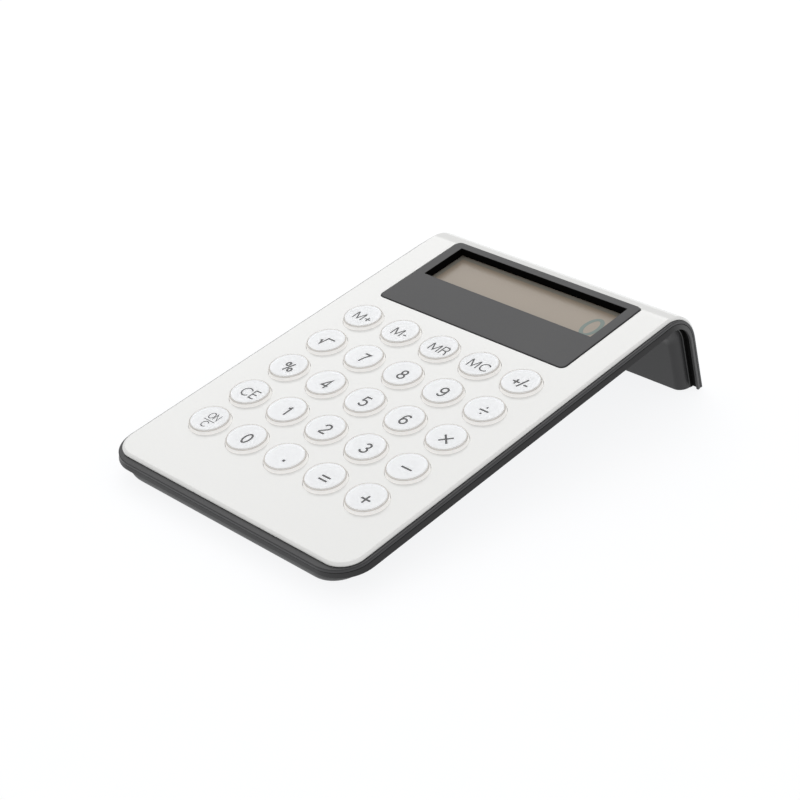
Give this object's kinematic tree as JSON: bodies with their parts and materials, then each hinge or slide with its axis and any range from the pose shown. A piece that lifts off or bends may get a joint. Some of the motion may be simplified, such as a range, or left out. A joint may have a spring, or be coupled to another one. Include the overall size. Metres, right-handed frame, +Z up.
{
  "type": "desk calculator",
  "caption": "Slim tilted desk calculator with a white cover bent over the back into a leg, round clear keys and an LCD in a dark bezel.",
  "frame": {"origin": "centre of the overall box in X and Y, on the plane the feet stand on", "axes": "+X to the user's right, +Y from the user towards the display and the leg, +Z up"},
  "size_m": [0.1056, 0.1682, 0.0324],
  "materials": {
    "cover_white": "smooth gloss white",
    "housing_black": "fine satin black",
    "bezel_grey": "fine grain dark grey",
    "key_clear": "clear cap over white",
    "lcd_grey": "semi-gloss polariser",
    "holder_grey": "moulded",
    "mat_silicone": "milky silicone",
    "zebra_rubber": "layered elastomer",
    "board_brown": "laminate",
    "chip_resin": "cast resin",
    "capacitor_amber": "dipped resin",
    "cell_steel": "plated",
    "contact_nickel": "nickel plated",
    "screw_zinc": "zinc plated",
    "foot_rubber": "matt black"
  },
  "bodies": {
    "case": {"lower_housing": "housing_black", "upper_housing": "housing_black", "top_cover": "cover_white", "display_bezel": "bezel_grey", "lcd_glass": "lcd_grey", "lcd_holder": "holder_grey", "zebra_strip": "zebra_rubber", "keypad_mat": "mat_silicone", "main_pcb": "board_brown", "controller_chip": "chip_resin", "capacitor": "capacitor_amber", "button_cell": "cell_steel", "battery_contact_plus": "contact_nickel", "battery_contact_minus": "contact_nickel", "battery_door": "housing_black", "battery_door_screw": "screw_zinc", "case_screw_1": "screw_zinc", "case_screw_2": "screw_zinc", "case_screw_3": "screw_zinc", "case_screw_4": "screw_zinc", "case_screw_5": "screw_zinc", "case_screw_6": "screw_zinc", "foot_front_left": "foot_rubber", "foot_front_right": "foot_rubber", "foot_rear_left": "foot_rubber", "foot_rear_right": "foot_rubber"},
    "key_on_c": {"key_on_c": "key_clear"},
    "key_0": {"key_0": "key_clear"},
    "key_point": {"key_point": "key_clear"},
    "key_equals": {"key_equals": "key_clear"},
    "key_plus": {"key_plus": "key_clear"},
    "key_ce": {"key_ce": "key_clear"},
    "key_1": {"key_1": "key_clear"},
    "key_2": {"key_2": "key_clear"},
    "key_3": {"key_3": "key_clear"},
    "key_minus": {"key_minus": "key_clear"},
    "key_percent": {"key_percent": "key_clear"},
    "key_4": {"key_4": "key_clear"},
    "key_5": {"key_5": "key_clear"},
    "key_6": {"key_6": "key_clear"},
    "key_multiply": {"key_multiply": "key_clear"},
    "key_sqrt": {"key_sqrt": "key_clear"},
    "key_7": {"key_7": "key_clear"},
    "key_8": {"key_8": "key_clear"},
    "key_9": {"key_9": "key_clear"},
    "key_divide": {"key_divide": "key_clear"},
    "key_m_plus": {"key_m_plus": "key_clear"},
    "key_m_minus": {"key_m_minus": "key_clear"},
    "key_mr": {"key_mr": "key_clear"},
    "key_mc": {"key_mc": "key_clear"},
    "key_sign": {"key_sign": "key_clear"}
  },
  "joints": [
    {"name": "key_on_c_press", "type": "slide", "parent": "case", "child": "key_on_c", "axis": [0, 0.1564, -0.9877], "range_m": [0, 0.001], "stiffness_N_per_m": 400, "deforming": ["keypad_mat"]},
    {"name": "key_0_press", "type": "slide", "parent": "case", "child": "key_0", "axis": [0, 0.1564, -0.9877], "range_m": [0, 0.001], "stiffness_N_per_m": 400, "deforming": ["keypad_mat"]},
    {"name": "key_point_press", "type": "slide", "parent": "case", "child": "key_point", "axis": [0, 0.1564, -0.9877], "range_m": [0, 0.001], "stiffness_N_per_m": 400, "deforming": ["keypad_mat"]},
    {"name": "key_equals_press", "type": "slide", "parent": "case", "child": "key_equals", "axis": [0, 0.1564, -0.9877], "range_m": [0, 0.001], "stiffness_N_per_m": 400, "deforming": ["keypad_mat"]},
    {"name": "key_plus_press", "type": "slide", "parent": "case", "child": "key_plus", "axis": [0, 0.1564, -0.9877], "range_m": [0, 0.001], "stiffness_N_per_m": 400, "deforming": ["keypad_mat"]},
    {"name": "key_ce_press", "type": "slide", "parent": "case", "child": "key_ce", "axis": [0, 0.1564, -0.9877], "range_m": [0, 0.001], "stiffness_N_per_m": 400, "deforming": ["keypad_mat"]},
    {"name": "key_1_press", "type": "slide", "parent": "case", "child": "key_1", "axis": [0, 0.1564, -0.9877], "range_m": [0, 0.001], "stiffness_N_per_m": 400, "deforming": ["keypad_mat"]},
    {"name": "key_2_press", "type": "slide", "parent": "case", "child": "key_2", "axis": [0, 0.1564, -0.9877], "range_m": [0, 0.001], "stiffness_N_per_m": 400, "deforming": ["keypad_mat"]},
    {"name": "key_3_press", "type": "slide", "parent": "case", "child": "key_3", "axis": [0, 0.1564, -0.9877], "range_m": [0, 0.001], "stiffness_N_per_m": 400, "deforming": ["keypad_mat"]},
    {"name": "key_minus_press", "type": "slide", "parent": "case", "child": "key_minus", "axis": [0, 0.1564, -0.9877], "range_m": [0, 0.001], "stiffness_N_per_m": 400, "deforming": ["keypad_mat"]},
    {"name": "key_percent_press", "type": "slide", "parent": "case", "child": "key_percent", "axis": [0, 0.1564, -0.9877], "range_m": [0, 0.001], "stiffness_N_per_m": 400, "deforming": ["keypad_mat"]},
    {"name": "key_4_press", "type": "slide", "parent": "case", "child": "key_4", "axis": [0, 0.1564, -0.9877], "range_m": [0, 0.001], "stiffness_N_per_m": 400, "deforming": ["keypad_mat"]},
    {"name": "key_5_press", "type": "slide", "parent": "case", "child": "key_5", "axis": [0, 0.1564, -0.9877], "range_m": [0, 0.001], "stiffness_N_per_m": 400, "deforming": ["keypad_mat"]},
    {"name": "key_6_press", "type": "slide", "parent": "case", "child": "key_6", "axis": [0, 0.1564, -0.9877], "range_m": [0, 0.001], "stiffness_N_per_m": 400, "deforming": ["keypad_mat"]},
    {"name": "key_multiply_press", "type": "slide", "parent": "case", "child": "key_multiply", "axis": [0, 0.1564, -0.9877], "range_m": [0, 0.001], "stiffness_N_per_m": 400, "deforming": ["keypad_mat"]},
    {"name": "key_sqrt_press", "type": "slide", "parent": "case", "child": "key_sqrt", "axis": [0, 0.1564, -0.9877], "range_m": [0, 0.001], "stiffness_N_per_m": 400, "deforming": ["keypad_mat"]},
    {"name": "key_7_press", "type": "slide", "parent": "case", "child": "key_7", "axis": [0, 0.1564, -0.9877], "range_m": [0, 0.001], "stiffness_N_per_m": 400, "deforming": ["keypad_mat"]},
    {"name": "key_8_press", "type": "slide", "parent": "case", "child": "key_8", "axis": [0, 0.1564, -0.9877], "range_m": [0, 0.001], "stiffness_N_per_m": 400, "deforming": ["keypad_mat"]},
    {"name": "key_9_press", "type": "slide", "parent": "case", "child": "key_9", "axis": [0, 0.1564, -0.9877], "range_m": [0, 0.001], "stiffness_N_per_m": 400, "deforming": ["keypad_mat"]},
    {"name": "key_divide_press", "type": "slide", "parent": "case", "child": "key_divide", "axis": [0, 0.1564, -0.9877], "range_m": [0, 0.001], "stiffness_N_per_m": 400, "deforming": ["keypad_mat"]},
    {"name": "key_m_plus_press", "type": "slide", "parent": "case", "child": "key_m_plus", "axis": [0, 0.1564, -0.9877], "range_m": [0, 0.001], "stiffness_N_per_m": 400, "deforming": ["keypad_mat"]},
    {"name": "key_m_minus_press", "type": "slide", "parent": "case", "child": "key_m_minus", "axis": [0, 0.1564, -0.9877], "range_m": [0, 0.001], "stiffness_N_per_m": 400, "deforming": ["keypad_mat"]},
    {"name": "key_mr_press", "type": "slide", "parent": "case", "child": "key_mr", "axis": [0, 0.1564, -0.9877], "range_m": [0, 0.001], "stiffness_N_per_m": 400, "deforming": ["keypad_mat"]},
    {"name": "key_mc_press", "type": "slide", "parent": "case", "child": "key_mc", "axis": [0, 0.1564, -0.9877], "range_m": [0, 0.001], "stiffness_N_per_m": 400, "deforming": ["keypad_mat"]},
    {"name": "key_sign_press", "type": "slide", "parent": "case", "child": "key_sign", "axis": [0, 0.1564, -0.9877], "range_m": [0, 0.001], "stiffness_N_per_m": 400, "deforming": ["keypad_mat"]}
  ]
}
